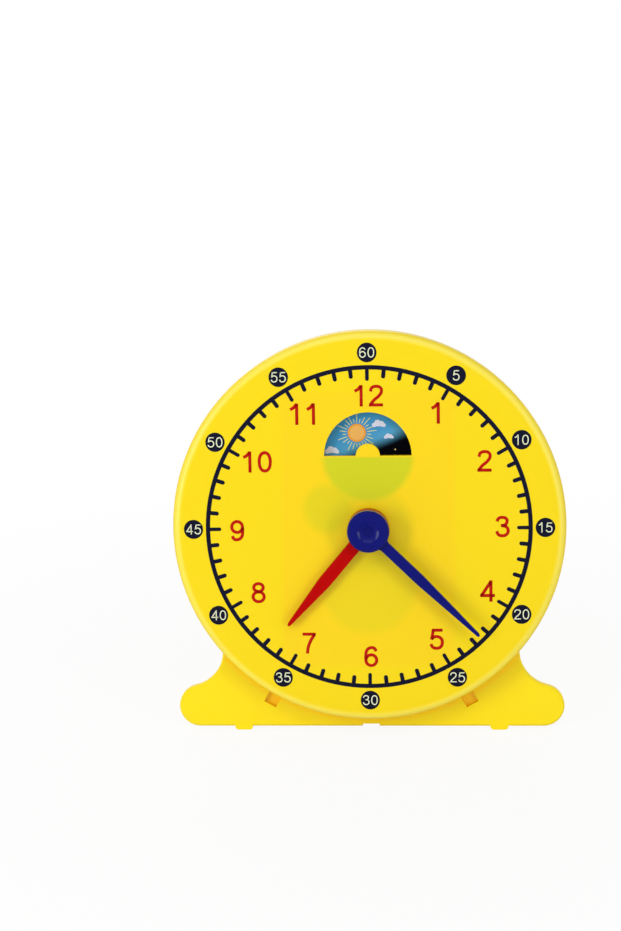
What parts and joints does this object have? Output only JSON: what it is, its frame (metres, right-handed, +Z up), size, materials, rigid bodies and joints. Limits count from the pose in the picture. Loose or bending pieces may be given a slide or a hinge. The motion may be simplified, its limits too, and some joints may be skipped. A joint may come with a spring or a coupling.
{
  "type": "geared teaching clock",
  "caption": "Round geared teaching clock on a clip-on stand, with hands that turn together and a day and night window.",
  "frame": {"origin": "on the floor under the middle of the clock, at the centre of its bounding box", "axes": "+Z up, +X to the right as seen from the front, the dial faces -Y and leans back"},
  "size_m": [0.1054, 0.047, 0.1091],
  "materials": {
    "case_yellow": "satin gloss, slightly translucent ABS",
    "hand_red": "gloss",
    "hand_blue": "gloss",
    "gear_blue": "moulded acetal",
    "card": "printed card with a thin varnish",
    "steel": "turned, zinc plated",
    "washer_white": "nylon"
  },
  "bodies": {
    "clock_body": {"dial_case": "case_yellow", "rear_housing": "case_yellow", "housing_screws": "steel", "stand": "case_yellow", "day_night_pin": "steel", "idler_pin": "steel", "minute_wheel_pin": "steel", "friction_washer": "washer_white"},
    "minute_train": {"minute_hand": "hand_blue", "minute_arbor": "gear_blue", "setting_knob": "case_yellow", "knob_screw": "steel"},
    "hour_train": {"hour_hand": "hand_red", "hour_wheel": "gear_blue"},
    "minute_wheel_body": {"minute_wheel": "gear_blue"},
    "idler_body": {"idler_gear": "gear_blue"},
    "day_night_body": {"day_night_gear": "gear_blue", "day_night_disc": "card"}
  },
  "joints": [
    {"name": "minute_spin", "type": "hinge", "parent": "clock_body", "child": "minute_train", "pos_m": [0, -0.01403, 0.05772], "axis": [0, 0.9848, -0.1736], "continuous": true},
    {"name": "hour_spin", "type": "hinge", "parent": "clock_body", "child": "hour_train", "pos_m": [0, -0.01403, 0.05772], "axis": [0, 0.9848, -0.1736], "continuous": true},
    {"name": "minute_wheel_spin", "type": "hinge", "parent": "clock_body", "child": "minute_wheel_body", "pos_m": [0, -0.0168, 0.04196], "axis": [0, 0.9848, -0.1736], "continuous": true},
    {"name": "idler_spin", "type": "hinge", "parent": "clock_body", "child": "idler_body", "pos_m": [-0.0107, -0.01308, 0.06307], "axis": [0, 0.9848, -0.1736], "continuous": true},
    {"name": "day_night_spin", "type": "hinge", "parent": "clock_body", "child": "day_night_body", "pos_m": [0, -0.01066, 0.07683], "axis": [0, 0.9848, -0.1736], "continuous": true}
  ],
  "couplings": [
    {"joint": "hour_spin", "follows": "minute_spin", "ratio": 0.083333},
    {"joint": "minute_wheel_spin", "follows": "minute_spin", "ratio": -0.25},
    {"joint": "idler_spin", "follows": "minute_spin", "ratio": -0.072917},
    {"joint": "day_night_spin", "follows": "minute_spin", "ratio": 0.041667}
  ]
}
